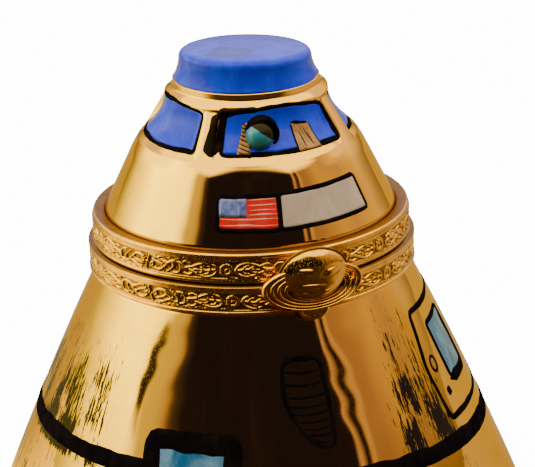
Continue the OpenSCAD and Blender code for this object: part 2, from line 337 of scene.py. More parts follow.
def newMaterial(name):
    material = bpy.data.materials.new(name)
    material.use_nodes = True
    return material, Shader(material.node_tree)


def closeMaterial(shader, normal=None, **sockets):
    bsdf = shader.add("ShaderNodeBsdfPrincipled", **sockets)
    if normal is not None:
        shader.feed(bsdf.inputs["Normal"], normal)
    out = shader.tree.nodes.new("ShaderNodeOutputMaterial")
    shader.tree.links.new(bsdf.outputs[0], out.inputs[0])


# shared effects

def handDimplesGroup():              # soft dents and fine pits of a hand-brushed surface
    s = makeGroup("handDimples", {"Dents": 0.02, "Dent scale": 0.25, "Pits": 0.004, "Pit scale": 4.0},
                  {"Normal": "Vector", "Pit mask": "Float"})
    source = s.source.outputs
    dents = s.times(s.noise(source["Vector"], source["Dent scale"], 1.0), source["Dents"])
    speckle = s.noise(source["Vector"], source["Pit scale"], 3.0, 0.6)
    pitMask = s.range(speckle, 0.60, 0.74)
    pits = s.times(pitMask, source["Pits"])
    height = s.minus(dents, pits)
    bump = s.add("ShaderNodeBump", Strength=1.0, Distance=mm, Height=height)
    s.feed(s.result.inputs["Normal"], bump.outputs[0])
    s.feed(s.result.inputs["Pit mask"], pitMask)
    return s.tree


def dimpled(shader, position, dents, dentScale, pits, pitScale):
    settings = {"Dents": dents, "Dent scale": dentScale, "Pits": pits, "Pit scale": pitScale}
    return useGroup(shader, handDimples, Vector=position, **settings)


def aroundGroup():                   # azimuth in degrees and height in millimetres
    s = makeGroup("around", {}, {"Azimuth": "Float", "Height": "Float", "Unrolled": "Vector"})
    parts = s.add("ShaderNodeSeparateXYZ", Vector=s.source.outputs["Vector"]).outputs
    azimuth = s.azimuth(parts)
    unrolled = s.add("ShaderNodeCombineXYZ", X=azimuth, Y=parts[2]).outputs[0]
    s.feed(s.result.inputs["Azimuth"], azimuth)
    s.feed(s.result.inputs["Height"], parts[2])
    s.feed(s.result.inputs["Unrolled"], unrolled)
    return s.tree


handDimples = handDimplesGroup()
around = aroundGroup()

gilding = {
    "colour": (1.0, 0.54, 0.12),
    "worn": (0.74, 0.32, 0.07),
    "streak": (0.010, 0.006, 0.009),
    "roughness": 0.025,
    "sparse": 0.685,                 # noise above this shows as a streak where streaks are fewest
    "denser": 0.22,                  # how far that falls where they are densest
    "edge": 0.035,
    "cover": 0.995,
    "streaks": [                     # azimuth from, to, height from, to, strength
        (-118, -62, 16.5, 30.0, 1.4),
        (11, 42, 16.0, 33.0, 1.35),
        (-118, -60, 5.0, 18.0, 1.2),
        (12, 46, 5.0, 17.0, 0.9),
    ],
}


def gildedMaterial(name, streaks):
    material, s = newMaterial(name)
    position = s.millimetres()
    spot = useGroup(s, around, Vector=position)
    dimples = dimpled(s, position, 0.065, 0.17, 0.0004, 6.0)
    cloud = s.noise(position, 0.35, 3.0, 0.55)
    thin = s.range(cloud, 0.52, 0.75)
    tone = s.blend(s.times(thin, 0.25), gilding["colour"], gilding["worn"])
    tone = s.blend(s.times(dimples["Pit mask"], 0.4), tone, gilding["worn"])
    roughness = s.range(cloud, 0.3, 0.8, gilding["roughness"], gilding["roughness"] + 0.04)
    metal = 1.0
    if streaks:
        dashes, specks, clusters = [
            s.noise(s.vector("MULTIPLY", spot["Unrolled"], (*scale, 1.0)), 1.0, 2.0, rough)
            for scale, rough in (((1.25, 0.21), 0.6), ((2.6, 0.9), 0.6), ((0.15, 0.14), 0.5))]
        total = None
        for low, high, bottom, top, strength in streaks:
            window = s.times(s.range(spot["Azimuth"], low, low + 9), s.range(spot["Azimuth"], high, high - 8))
            fade = s.math("POWER", s.range(spot["Height"], top, bottom, soft=False), 0.6)
            fade = s.times(fade, s.range(spot["Height"], bottom - 1.5, bottom))
            mask = s.times(s.times(window, fade), strength)
            total = mask if total is None else s.math("MAXIMUM", total, mask)
        density = s.times(total, s.range(clusters, 0.34, 0.6, 0.5, 1.15))
        threshold = s.minus(gilding["sparse"], s.times(density, gilding["denser"]))
        grain = s.plus(s.times(dashes, 0.6), s.times(specks, 0.4))
        streak = s.range(grain, threshold, s.plus(threshold, gilding["edge"]))
        streak = s.times(streak, s.range(total, 0.02, 0.12))
        tone = s.blend(s.times(streak, gilding["cover"]), tone, gilding["streak"])
        roughness = s.plus(roughness, s.times(streak, 0.2))
        metal = s.minus(1.0, streak)
    closeMaterial(s, normal=dimples["Normal"], Base_Color=tone, Roughness=roughness, Metallic=metal,
                  Specular_IOR_Level=0.08, Specular_Tint=(1.0, 0.80, 0.35, 1))
    return material


def enamelMaterial(name, colour, light, dark, depth=0.5, scale=0.5, roughness=0.14, coat=0.1,
                   shine=0.3, pits=0.003):
    material, s = newMaterial(name)
    position = s.millimetres()
    dimples = dimpled(s, position, 0.035, 0.7, pits, 7.0)
    brushed = s.noise(s.vector("MULTIPLY", position, (1.0, 1.0, 0.35)), scale, 4.0, 0.6, 0.6)
    tone = s.blend(s.range(brushed, 0.35, 0.7), dark, light)
    tone = s.blend(depth, colour, tone)
    tone = s.blend(s.times(dimples["Pit mask"], 0.25), tone, dark)
    closeMaterial(s, normal=dimples["Normal"], Base_Color=tone, Roughness=roughness, Specular_IOR_Level=shine,
                  Specular_Tint=(1.0, 0.72, 1.0, 1), Coat_Weight=coat, Coat_Roughness=0.05,
                  Coat_Tint=(1.0, 0.95, 1.0, 1))
    return material


def brassMaterial(name, relief=False):
    material, s = newMaterial(name)
    position = s.millimetres()
    dimples = dimpled(s, position, 0.02, 1.2, 0.01, 9.0)
    cloud = s.noise(position, 0.8, 4.0, 0.6)
    tone = s.blend(s.range(cloud, 0.35, 0.7), (1.0, 0.52, 0.085), (0.82, 0.37, 0.06))
    roughness = s.range(cloud, 0.3, 0.75, 0.09, 0.17)
    if relief:
        # painted shade: where the recess attribute is set, the brass is darkened towards near black: the
        # engraved ground, the seams and the hidden faces
        recess = s.add("ShaderNodeAttribute", attribute_name="recess").outputs["Fac"]
        tone = s.blend(s.times(recess, 0.85), tone, (0.05, 0.016, 0.004))
        roughness = s.plus(roughness, s.times(recess, 0.25))
    else:
        tone = s.blend(s.times(dimples["Pit mask"], 0.6), tone, (0.2, 0.09, 0.03))
    closeMaterial(s, normal=dimples["Normal"], Base_Color=tone, Roughness=roughness, Metallic=1.0)
    return material


def glazeMaterial():
    material, s = newMaterial("whiteGlaze")
    position = s.millimetres()
    dimples = dimpled(s, position, 0.05, 0.2, 0.002, 3.0)
    tone = s.blend(s.noise(position, 0.2, 3.0), (0.80, 0.79, 0.76), (0.86, 0.85, 0.83))
    closeMaterial(s, normal=dimples["Normal"], Base_Color=tone, Roughness=0.12, Coat_Weight=0.7,
                  Coat_Roughness=0.03)
    return material


goldBase = gildedMaterial("gildedBase", gilding["streaks"])
goldLid = gildedMaterial("gildedLid", [])
goldRelief = enamelMaterial("goldRelief", (0.42, 0.19, 0.045), (0.66, 0.34, 0.09), (0.16, 0.07, 0.03),
                            scale=1.2, roughness=0.3)
whiteGlaze = glazeMaterial()
blueEnamel = enamelMaterial("blueEnamel", (0.012, 0.045, 0.80), (0.035, 0.10, 0.95), (0.006, 0.018, 0.50),
                            depth=0.35, coat=0.05, shine=0.16)
blackEnamel = enamelMaterial("blackEnamel", (0.006, 0.004, 0.0045), (0.012, 0.008, 0.008),
                             (0.002, 0.002, 0.002), roughness=0.4, coat=0.0, shine=0.0)
glossBlack = enamelMaterial("glossBlack", (0.006, 0.003, 0.003), (0.03, 0.012, 0.006),
                            (0.002, 0.002, 0.002), roughness=0.08, coat=0.02, shine=0.03, pits=0.016)
skyEnamel = enamelMaterial("skyEnamel", (0.04, 0.19, 0.37), (0.20, 0.38, 0.54), (0.01, 0.09, 0.24), depth=0.8,
                           scale=0.3, coat=0.0, shine=0.2)
redEnamel = enamelMaterial("redEnamel", (0.80, 0.022, 0.013), (0.88, 0.06, 0.035), (0.50, 0.010, 0.006))
pinkEnamel = enamelMaterial("pinkEnamel", (0.80, 0.42, 0.36), (0.85, 0.6, 0.52), (0.7, 0.22, 0.18))
plateEnamel = enamelMaterial("plateEnamel", (0.56, 0.42, 0.31), (0.62, 0.50, 0.38), (0.46, 0.33, 0.24))
flagBlue = enamelMaterial("flagBlue", (0.13, 0.17, 0.52), (0.30, 0.34, 0.66), (0.07, 0.09, 0.30),
                          depth=0.8, scale=1.3)
brass = brassMaterial("agedBrass")
engravedBrass = brassMaterial("engravedBrass", relief=True)
print("materials made", flush=True)


# camera

camera = {"azimuth": -22.0, "elevation": 19.7, "distance": 238.0, "roll": 2.05, "lens": 147.5,
          "shift": (0.0305, -0.0107)}


def makeCamera():
    data = bpy.data.cameras.new("camera")
    data.lens = camera["lens"]
    data.sensor_width = 36
    data.shift_x, data.shift_y = camera["shift"]
    data.clip_start = 0.01
    seen = bpy.data.objects.new("camera", data)
    bpy.context.scene.collection.objects.link(seen)
    a, e = math.radians(camera["azimuth"]), math.radians(camera["elevation"])
    back = Vector((math.sin(a) * math.cos(e), -math.cos(a) * math.cos(e), math.sin(e)))
    target = Vector((0, 0, body["seamZ"]))
    roll = Matrix.Rotation(math.radians(-camera["roll"]), 3, "Z")
    seen.rotation_euler = ((-back).to_track_quat("-Z", "Y").to_matrix() @ roll).to_euler()
    seen.location = (target + back * camera["distance"]) * mm
    bpy.context.scene.camera = seen


makeCamera()


# porcelain shells

baseShellLook = {"steps": 288, "rows": 56}


def makeBaseShell():
    look = baseShellLook
    recess, wall = body["footRecess"], body["wall"]
    footIn = body["footR"] - body["footWidth"]
    shield = (body["edgeR"] - body["edgeRound"] - 0.05, body["edgeZ"] - 0.53)
    outline = [(0, recess), (footIn - 0.6, recess)] + arc((footIn + 0.25, 0.3), 0.3, 170, 270, 4)
    outline += arc((body["footR"] - 0.3, 0.3), 0.3, 270, 340, 4)
    outline += [(mix(body["footR"], body["edgeR"], 0.5), 0.4)] + arc(shield, body["edgeRound"], -75, 18, 10)
    outline += [(baseRadius(z), z) for z in between(body["edgeZ"] + 0.4, neckZ + 0.05, look["rows"])]
    rimInR = lidFootR - 2.15
    outline += [(rimInR + 1.5, neckZ + 1.9), (rimInR + 0.75, neckZ + 1.9), (rimInR + 0.7, neckZ - 0.8)]
    outline += [(baseRadius(z) - wall * 1.095, z) for z in between(neckZ - 1.6, recess + wall + 2, 20)]
    outline += arc((baseRadius(5) - wall * 1.1 - 2, recess + wall + 2), 2, -10, -90, 6) + [(0, recess + wall)]
    bm = lathe(outline, look["steps"])
    for vert in bm.verts:
        z = vert.co.z
        if body["edgeZ"] + 0.3 < z < neckZ + 0.1 and radiusOf(vert.co) > baseRadius(z) - 0.3:
            vert.co = onShell(azimuthOf(vert.co), z)
    for face in bm.faces:
        centre = face.calc_center_median()
        r = radiusOf(centre)
        inside = centre.z > recess + wall - 0.1 and r < baseRadius(centre.z) - 1
        under = centre.z < body["edgeZ"] and r < body["footR"] + 1.5
        face.material_index = 1 if inside or under else 0
    place(bm, "baseShell", "base", [goldBase, whiteGlaze], ["base_shell"])


lidShellLook = {"steps": 480, "coneRows": 22, "bayRows": 34, "mouldingRows": 12}


def makeLidShell():
    look = lidShellLook
    wall = body["lidWall"]
    neckIn = lidFootR - 1.4
    outline = [(neckIn, lidLow.z), (lidFootR - 0.05, lidLow.z), (lidFootR - 0.05, coneLowZ - 0.1)]
    outline += [(ribRadius(z), z) for z in between(coneLowZ, shoulderZ - 0.3, look["coneRows"])]
    outline += [(ribRadius(z), z) for z in between(shoulderZ - 0.15, bayTopZ + 0.15, look["bayRows"])]
    outline += [(ribRadius(z), z) for z in between(bayTopZ + 0.3, lidTopZ, look["mouldingRows"])]
    outline += [(capFootR - 1, lidTopZ), (0, lidTopZ), (0, lidTopZ - 1), (capFootR - wall, lidTopZ - 1.3)]
    outline += [(ribRadius(z) - wall - 0.7, z) for z in between(bayTopZ, shoulderZ, 10)]
    outline += [(ribRadius(z) - wall, z) for z in between(shoulderZ - 1, coneLowZ, 8)]
    outline += [(neckIn, lidLow.z + 0.8)]
    bm = lathe(outline, look["steps"], closed=True)
    for vert in bm.verts:
        z = vert.co.z
        if coneLowZ - 0.01 < z < lidTopZ + 0.01 and abs(radiusOf(vert.co) - ribRadius(z)) < 0.01:
            vert.co = onShell(azimuthOf(vert.co), z)
    for face in bm.faces:
        centre = face.calc_center_median()
        r = radiusOf(centre)
        face.material_index = 1 if r < ribRadius(centre.z) - 1.5 and centre.z < lidTopZ - 0.1 else 0
    place(bm, "lidShell", "lid", [goldLid, whiteGlaze], ["lid_shell"])


makeBaseShell()
makeLidShell()
print("shells made", flush=True)

capLook = {"steps": 168, "side": 1.9, "roundR": 0.95, "lean": 0.042, "leanTowards": -48.0}


def makeCap():
    foot, top = capLow.z, capHigh.z
    roundR = capLook["roundR"]
    sideR = capFootR - 0.52
    outline = [(0, foot), (capFootR - 0.06, foot), (capFootR - 0.01, foot + 0.05)]
    outline += [(sideR - 0.1 * t + 0.5 * (1 - t) ** 1.7, foot + 0.1 + capLook["side"] * t)
                for t in between(0, 1, 14)]
    outline += arc((sideR - 0.1 - roundR, foot + capLook["side"] + 0.13), roundR, 6, 72, 12)
    edgeR, edgeZ = outline[-1]
    outline += [(r, top - (top - edgeZ) * (r / edgeR) ** 2) for r in between(edgeR * 0.95, 0.3, 14)]
    outline.append((0, top))
    bm = lathe(outline, capLook["steps"])
    for vert in bm.verts:
        a, r = azimuthOf(vert.co), radiusOf(vert.co)
        if r > 1:
            push = 1 + 0.012 * noise.noise(Vector((vert.co.x * 0.2, vert.co.y * 0.2, 3)))
            vert.co.x *= push
            vert.co.y *= push
        lean = capLook["lean"] * math.cos(math.radians(a - capLook["leanTowards"])) * r
        vert.co.z += lean * smooth(foot, top, vert.co.z)
        if vert.co.z < foot + 0.3:
            vert.co.z += 0.12 * noise.noise(Vector((math.radians(a) * 1.3, 0, 9)))
    place(bm, "topCap", "lid", [blueEnamel], ["top_cap"])


makeCap()
print("cap made", flush=True)


# enamel laid on the shells

def enamelField(corners, lift, step=0.35, arch=0.0):
    # corners as azimuth and height: low left, low right, high right, high left
    (aLL, zLL), (aLR, zLR), (aHR, zHR), (aHL, zHL) = corners
    width = abs(aLR - aLL) * math.radians(1) * shellRadius(aLL, zLL)
    across = max(2, int(width / step))
    up = max(2, int(abs(zHL - zLL) / step))
    bm = bmesh.new()
    bmesh.ops.create_grid(bm, x_segments=across, y_segments=up, size=0.5)
    for vert in bm.verts:
        u, v = vert.co.x + 0.5, vert.co.y + 0.5
        azimuth = mix(mix(aLL, aLR, u), mix(aHL, aHR, u), v)
        z = mix(mix(zLL, zLR, u), mix(zHL, zHR, u), v) + arch * v * (1 - (2 * u - 1) ** 2)
        vert.co = onShell(azimuth, z, lift)
    return bm


def thicken(bm, depth):
    # gives an enamel field its side walls, down into the glaze
    rim = [edge for edge in bm.edges if edge.is_boundary]
    made = bmesh.ops.extrude_edge_only(bm, edges=rim)
    for item in made["geom"]:
        if isinstance(item, bmesh.types.BMVert):
            item.co = onShell(azimuthOf(item.co), item.co.z, -depth)


def enamelPatch(name, rides, corners, material, nodes, slot, lift=0.05, depth=0.05, **field):
    bm = enamelField(corners, lift, **field)
    thicken(bm, depth)
    place(bm, name, rides, [material], nodes)


def roundedPath(points, radius, closed):
    # cuts each corner with a short curve, and spaces the points evenly
    path = []
    count = len(points)
    for i, point in enumerate(points):
        p = Vector(point)
        if not closed and i in (0, count - 1):
            path.append(p)
            continue
        before, after = Vector(points[i - 1]), Vector(points[(i + 1) % count])
        inDir, outDir = (p - before), (after - p)
        cut = min(radius, inDir.length * 0.45, outDir.length * 0.45)
        start, end = p - inDir.normalized() * cut, p + outDir.normalized() * cut
        for t in between(0, 1, 5):
            path.append(start.lerp(p, t).lerp(p.lerp(end, t), t))
    if closed:
        path.append(path[0].copy())
    return path


def evenly(path, step):
    lengths = [0.0]
    for a, b in zip(path, path[1:]):
        lengths.append(lengths[-1] + (b - a).length)
    count = max(3, int(lengths[-1] / step))
    out, k = [], 0
    for i in range(count + 1):
        want = lengths[-1] * i / count
        while k < len(lengths) - 2 and lengths[k + 1] < want:
            k += 1
        gap = lengths[k + 1] - lengths[k]
        out.append(path[k].lerp(path[k + 1], (want - lengths[k]) / gap if gap else 0))
    return out


def brushStroke(bm, points, width, closed=False, corner=0.6, lift=0.1, wobble=0.16, taper=0.0, seed=0,
                step=0.35):
    # a painted line: points as azimuth and height, drawn in an unrolled plane and wrapped on
    zMid = sum(p[1] for p in points) / len(points)
    perDegree = math.radians(1) * shellRadius(points[0][0], zMid)
    flatPoints = [(a * perDegree, z, 0) for a, z in points]
    path = evenly(roundedPath(flatPoints, corner, closed), step)
    if closed:
        path = path[:-1]
    count = len(path)
    rings = []
    across = (-1.0, -0.82, -0.4, 0.0, 0.4, 0.82, 1.0)
    raised = (-0.03, 0.5, 0.9, 1.0, 0.9, 0.5, -0.03)
    for i, p in enumerate(path):
        if closed:
            forward = path[(i + 1) % count] - path[i - 1]
        else:
            forward = path[min(i + 1, count - 1)] - path[max(i - 1, 0)]
        side = Vector((-forward.y, forward.x, 0)).normalized()
        n = noise.noise(Vector((p.x * 0.5, p.y * 0.5, seed * 3.7)))
        m = noise.noise(Vector((p.x * 1.6, p.y * 1.6, seed * 5.1 + 2)))
        half = width / 2 * (1 + wobble * n + 0.5 * wobble * m)
        if taper and not closed:
            t = i / (count - 1)
            half *= max(0.12, min(1.0, min(t, 1 - t) / taper)) ** 0.6
        drift = side * width * wobble * 0.5 * n
        ring = []
        for w, h in zip(across, raised):
            q = p + drift + side * half * w
            ring.append(bm.verts.new(onShell(q.x / perDegree, q.y, lift * h)))
        rings.append(ring)
    pairs = list(zip(rings, rings[1:])) + ([(rings[-1], rings[0])] if closed else [])
    for a, b in pairs:
        for j in range(len(across) - 1):
            bm.faces.new((a[j], a[j + 1], b[j + 1], b[j]))


def line(points, width, **options):
    return points, width, options


def strokes(name, rides, lines, nodes=(), material=blackEnamel):
    bm = bmesh.new()
    for i, (points, width, options) in enumerate(lines):
        brushStroke(bm, points, width, seed=i + len(name), **options)
    place(bm, name, rides, [material], nodes)


bandLook = {"height": 16.0, "lean": 1.4, "leanFrom": 70, "width": 1.75}


def bandHeight(azimuth):
    return bandLook["height"] + bandLook["lean"] * math.cos(math.radians(azimuth + bandLook["leanFrom"]))


def makeBand():
    points = [(a, bandHeight(a)) for a in range(-180, 184, 4)]
    band = line(points, bandLook["width"], corner=0.1, wobble=0.14, lift=0.09, step=0.8)
    strokes("blackBand", "base", [band])


windows = {"azimuths": {"left": -39.3, "back": 147.0}, "half": 9.7, "low": 13.6, "high": 20.4, "line": 2.1}


def makeWindow(side, a):
    half, low, high = windows["half"], windows["low"], windows["high"]
    narrow = half * baseRadius(low) / baseRadius(high)
    corners = [(a - half, low), (a + half, low), (a + narrow, high), (a - narrow, high)]
    enamelPatch(side + "WindowPane", "base", corners, skyEnamel, ["window_pane_" + side], "light_blue_enamel")
    outline = line(corners, windows["line"], closed=True, corner=0.7, lift=0.14)
    strokes(side + "WindowFrame", "base", [outline], ["window_frame_" + side])


makeBand()
for windowSide, windowAzimuth in windows["azimuths"].items():
    makeWindow(windowSide, windowAzimuth)

hatch = {
    "outer": [(38.2, 28.8), (35.2, 23.6), (37.6, 17.7), (72.0, 17.5), (74.0, 28.9)],
    "pane": [(46.4, 21.0), (60.6, 20.7), (61.4, 27.0), (45.6, 26.9)],
    "shade": [(46.0, 20.75), (60.6, 20.5), (61.7, 27.0)],
    "knob": (39.8, 23.3),
    "dot": [(41.0, 20.35), (43.0, 19.85)],
}


def makeHatch():
    enamelPatch("hatchPane", "base", hatch["pane"], skyEnamel, ["hatch_window_pane"], "light_blue_enamel")
    strokes("hatchWindowFrame", "base", [line(hatch["pane"], 0.5, closed=True, corner=0.5, lift=0.14),
                                         line(hatch["shade"], 1.25, corner=0.8, lift=0.16, taper=0.1)],
            ["hatch_window_frame"])
    (knobA, knobZ), turns = hatch["knob"], [math.pi / 4 * t for t in range(8)]
    knob = [(knobA + 1.7 * math.cos(t), knobZ + 0.82 * math.sin(t)) for t in turns]
    strokes("hatchOutline", "base", [
        line(hatch["outer"], 0.6, closed=True, corner=0.6, lift=0.07, wobble=0.3),
        line(knob, 0.34, closed=True, corner=0.3, lift=0.06, step=0.15),
        line(hatch["dot"], 1.05, lift=0.06, step=0.12, taper=0.3)])


makeHatch()

vent = {"left": [(-14.3, 28.1), (-14.7, 24.2), (-11.3, 21.8), (-6.6, 19.8)],
        "right": [(-2.5, 28.0), (-1.9, 24.2), (-1.8, 21.8), (-2.2, 19.6)], "ribs": 10, "line": 0.48}


def alongPath(points, t):
    s = t * (len(points) - 1)
    i = min(int(s), len(points) - 2)
    return (mix(points[i][0], points[i + 1][0], s - i), mix(points[i][1], points[i + 1][1], s - i))


def makeVent():
    lines = [line(vent["left"] + vent["right"][::-1], vent["line"], closed=True, corner=1.2, lift=0.06,
                  wobble=0.3)]
    for i in range(1, vent["ribs"]):
        t = i / vent["ribs"]
        a, b = alongPath(vent["left"], t), alongPath(vent["right"], t)
        middle = ((a[0] + b[0]) / 2, (a[1] + b[1]) / 2 - 0.25)
        lines.append(line([(a[0] + 0.6, a[1]), middle, (b[0] - 0.4, b[1])], 0.26, corner=2.0, lift=0.05,
                          wobble=0.35, taper=0.15))
    strokes("ventOutline", "base", lines)


makeVent()
print("base paint made", flush=True)


# lid paint

bays = {"half": 37.2, "low": bayLowZ + 0.72, "high": bayTopZ - 0.45, "line": 0.44, "wall": 39.7,
        "azimuths": {"front": 0, "right": 90, "back": 180, "left": -90}}


def makeBay(side, azimuth):
    half, low, high, arch = bays["half"], bays["low"], bays["high"], body["bayArch"]
    corners = [(azimuth - half, low), (azimuth + half, low), (azimuth + half, high), (azimuth - half, high)]
    enamelPatch("bayPanel" + side.capitalize(), "lid", corners, blueEnamel, ["bay_panel_" + side],
                "blue_enamel", step=0.3, arch=arch)
    shares = (1, 0.75, 0.45, 0.15, -0.15, -0.45, -0.75, -1)
    top = [(azimuth + half * t, high + arch * (1 - t * t)) for t in shares]
    strokes("bayOutline" + side.capitalize(), "lid", [
        line(corners[:2] + top, bays["line"], closed=True, corner=0.35, lift=0.1, wobble=0.45, step=0.2)])


def makeBayWall():                   # paint on the front bay's left side wall and along its upper edge
    wall, low = -bays["wall"], bays["low"]
    stroke = {"corner": 1.0, "wobble": 0.25, "step": 0.2, "taper": 0.12}
    side = [(wall - 1.9, low - 0.1), (wall - 2.4, bayTopZ - 1.3), (wall - 0.9, bayTopZ - 0.2)]
    above = [(wall - 2.2, bayTopZ - 0.7), (wall + 0.4, bayTopZ + 0.05), (-30, bayTopZ + 0.1),
             (-13, bayTopZ + 0.18)]
    strokes("bayWall", "lid", [line(side, 1.5, lift=0.08, **stroke), line(above, 0.7, lift=0.13, **stroke)],
            material=glossBlack)


for baySide, bayAzimuth in bays["azimuths"].items():
    makeBay(baySide, bayAzimuth)
makeBayWall()

flag = {"corners": [(-35.6, 40.75), (-10.4, 40.6), (-9.9, 43.85), (-36.0, 43.8)], "line": 0.5,
        "corner": 0.47, "cornerLow": 0.40,
        # pale lines left between the red stripes: height share, start share, width in millimetres
        "pale": [(0.90, 0.50, 0.13), (0.745, 0.50, 0.2), (0.60, 0.52, 0.14), (0.47, 0.50, 0.2),
                 (0.335, 0.04, 0.22), (0.15, 0.03, 0.17)]}
plate = {"corners": [(-9.9, 40.6), (32.9, 40.7), (32.0, 44.1), (-9.3, 43.9)], "line": 0.46}


def part(corners, u0, u1, v0, v1):
    # a smaller four-cornered field inside another, by shares of its width and height
    (aLL, zLL), (aLR, zLR), (aHR, zHR), (aHL, zHL) = corners

    def at(u, v):
        return (mix(mix(aLL, aLR, u), mix(aHL, aHR, u), v), mix(mix(zLL, zLR, u), mix(zHL, zHR, u), v))
    return [at(u0, v0), at(u1, v0), at(u1, v1), at(u0, v1)]


def makeFlag():
    enamelPatch("flagField", "lid", flag["corners"], redEnamel, ["flag_panel"], "flag_enamel", lift=0.04)
    bm = bmesh.new()
    for i, (v, start, width) in enumerate(flag["pale"]):
        ends = part(flag["corners"], start, 0.97, v, v + 0.015)
        middle = part(flag["corners"], 0.5 + start / 2, 1, v + 0.01, v)[0]
        brushStroke(bm, [ends[0], middle, ends[1]], width, lift=0.055, wobble=0.6, taper=0.3, seed=i + 40,
                    step=0.12)
    place(bm, "flagStripes", "lid", [pinkEnamel], ())
    corner = part(flag["corners"], 0.02, flag["corner"], flag["cornerLow"], 0.98)
    enamelPatch("flagCorner", "lid", corner, flagBlue, (), "flag_enamel", lift=0.08)


makeFlag()
enamelPatch("namePlate", "lid", plate["corners"], plateEnamel, ["name_plate"], "plate_enamel", lift=0.04)
strokes("flagBorder", "lid", [line(look["corners"], look["line"], closed=True, corner=0.35, lift=0.12)
                             for look in (flag, plate)])
print("lid paint made", flush=True)


# brass rims

ornament = {
    "repeats": 6,                    # rosettes round the rim
    "height": 1.95,                  # the engraved strip
    "depth": 0.22,
    "paintedShadeInset": 0.3,                     # how far inside the strip's face the brass is painted dark as shade
    "steps": 1260,
    "rows": 26,
}
# foliage between a rosette and the middle of its leaf scroll: points in millimetres, first and last width
leafScroll = [
    ([(0.95, 0.95), (1.35, 1.45), (2.2, 1.72), (3.1, 1.5), (3.9, 1.12), (4.8, 0.98)], 0.10, 0.16),
    ([(0.95, 0.95), (1.3, 0.5), (2.0, 0.3), (2.9, 0.42), (3.8, 0.75), (4.8, 0.98)], 0.16, 0.10),
    ([(1.25, 0.95), (2.3, 1.05), (3.5, 0.98)], 0.15, 0.07),
    ([(1.7, 1.0), (2.0, 1.35), (2.5, 1.48)], 0.12, 0.05),
    ([(2.4, 1.02), (2.7, 1.28), (3.2, 1.3)], 0.11, 0.05),
    ([(1.6, 0.92), (1.9, 0.62), (2.4, 0.55)], 0.12, 0.05),
    ([(2.4, 0.98), (2.8, 0.72), (3.3, 0.72)], 0.11, 0.05),
    ([(4.5, 1.0), (5.0, 0.55), (5.7, 0.35), (6.4, 0.62), (6.9, 1.1), (7.5, 1.52), (8.2, 1.5), (8.75, 1.15)],
     0.13, 0.15),
    ([(5.1, 0.55), (5.0, 1.1), (5.35, 1.55), (5.95, 1.6)], 0.16, 0.07),
    ([(5.9, 0.4), (5.85, 0.9), (6.2, 1.3), (6.7, 1.62)], 0.18, 0.06),
    ([(6.5, 0.75), (7.1, 0.55), (7.7, 0.28), (8.3, 0.25)], 0.20, 0.06),
    ([(7.1, 1.2), (7.45, 0.9), (8.0, 0.72), (8.5, 0.55)], 0.18, 0.07),
    ([(8.75, 1.15), (8.6, 0.9), (8.35, 1.05), (8.45, 1.25)], 0.14, 0.09),
    ([(8.9, 0.35), (9.1, 0.7), (8.95, 1.0)], 0.16, 0.08),
    ([(3.7, 1.42), (4.2, 1.62), (4.6, 1.5)], 0.12, 0.08),
    ([(3.9, 0.45), (4.3, 0.25), (4.7, 0.35)], 0.12, 0.08),
]
# a rosette's petals and its middle: centre and radius
rosette = [((0.52 * math.cos(math.radians(a)), 0.95 + 0.52 * math.sin(math.radians(a))),
            0.23 if a % 60 else 0.2) for a in range(-90, 91, 30)] + [((0.0, 0.95), 0.2)]


def curvePoints(points, count):
    # a smooth curve through a few points
    out = []
    for i in range(len(points) - 1):
        p0, p1 = points[max(i - 1, 0)], points[i]
        p2, p3 = points[i + 1], points[min(i + 2, len(points) - 1)]
        for k in range(count):
            t = k / count
            out.append(tuple(
                0.5 * (2 * b + (c - a) * t + (2 * a - 5 * b + 4 * c - d) * t * t
                       + (3 * b - a - 3 * c + d) * t ** 3) for a, b, c, d in zip(p0, p1, p2, p3)))
    out.append(tuple(points[-1]))
    return out


def foliage(x, y, half):
    # raised height, 0 to 1, of the ornament at places x along and y up the strip
    height = np.zeros_like(x)
    stretch = half / 9.15
    for points, first, last in leafScroll:
        curve = curvePoints(points, 5)
        for i, (a, b) in enumerate(zip(curve, curve[1:])):
            width = mix(first, last, i / (len(curve) - 1))
            ax, bx = a[0] * stretch, b[0] * stretch
            dx, dy = bx - ax, b[1] - a[1]
            t = np.clip(((x - ax) * dx + (y - a[1]) * dy) / (dx * dx + dy * dy + 1e-9), 0, 1)
            distance = np.hypot(x - ax - t * dx, y - a[1] - t * dy)
            height = np.maximum(height, np.sqrt(np.clip(1 - (distance / width) ** 2, 0, 1)))
    for (cx, cy), radius in rosette:
        distance = np.hypot(x - cx, y - cy)
        petal = np.sqrt(np.clip(1 - (distance / radius) ** 2, 0, 1))
        height = np.maximum(height, petal * (1 - 0.5 * np.exp(-(distance / (0.35 * radius)) ** 2)))
    scallop = 0.10 + 0.055 * np.abs(np.sin(x / half * math.pi * 9))
    return np.maximum(height, np.clip(1 - ((y - scallop) / 0.07) ** 2, 0, 1) * 0.8)


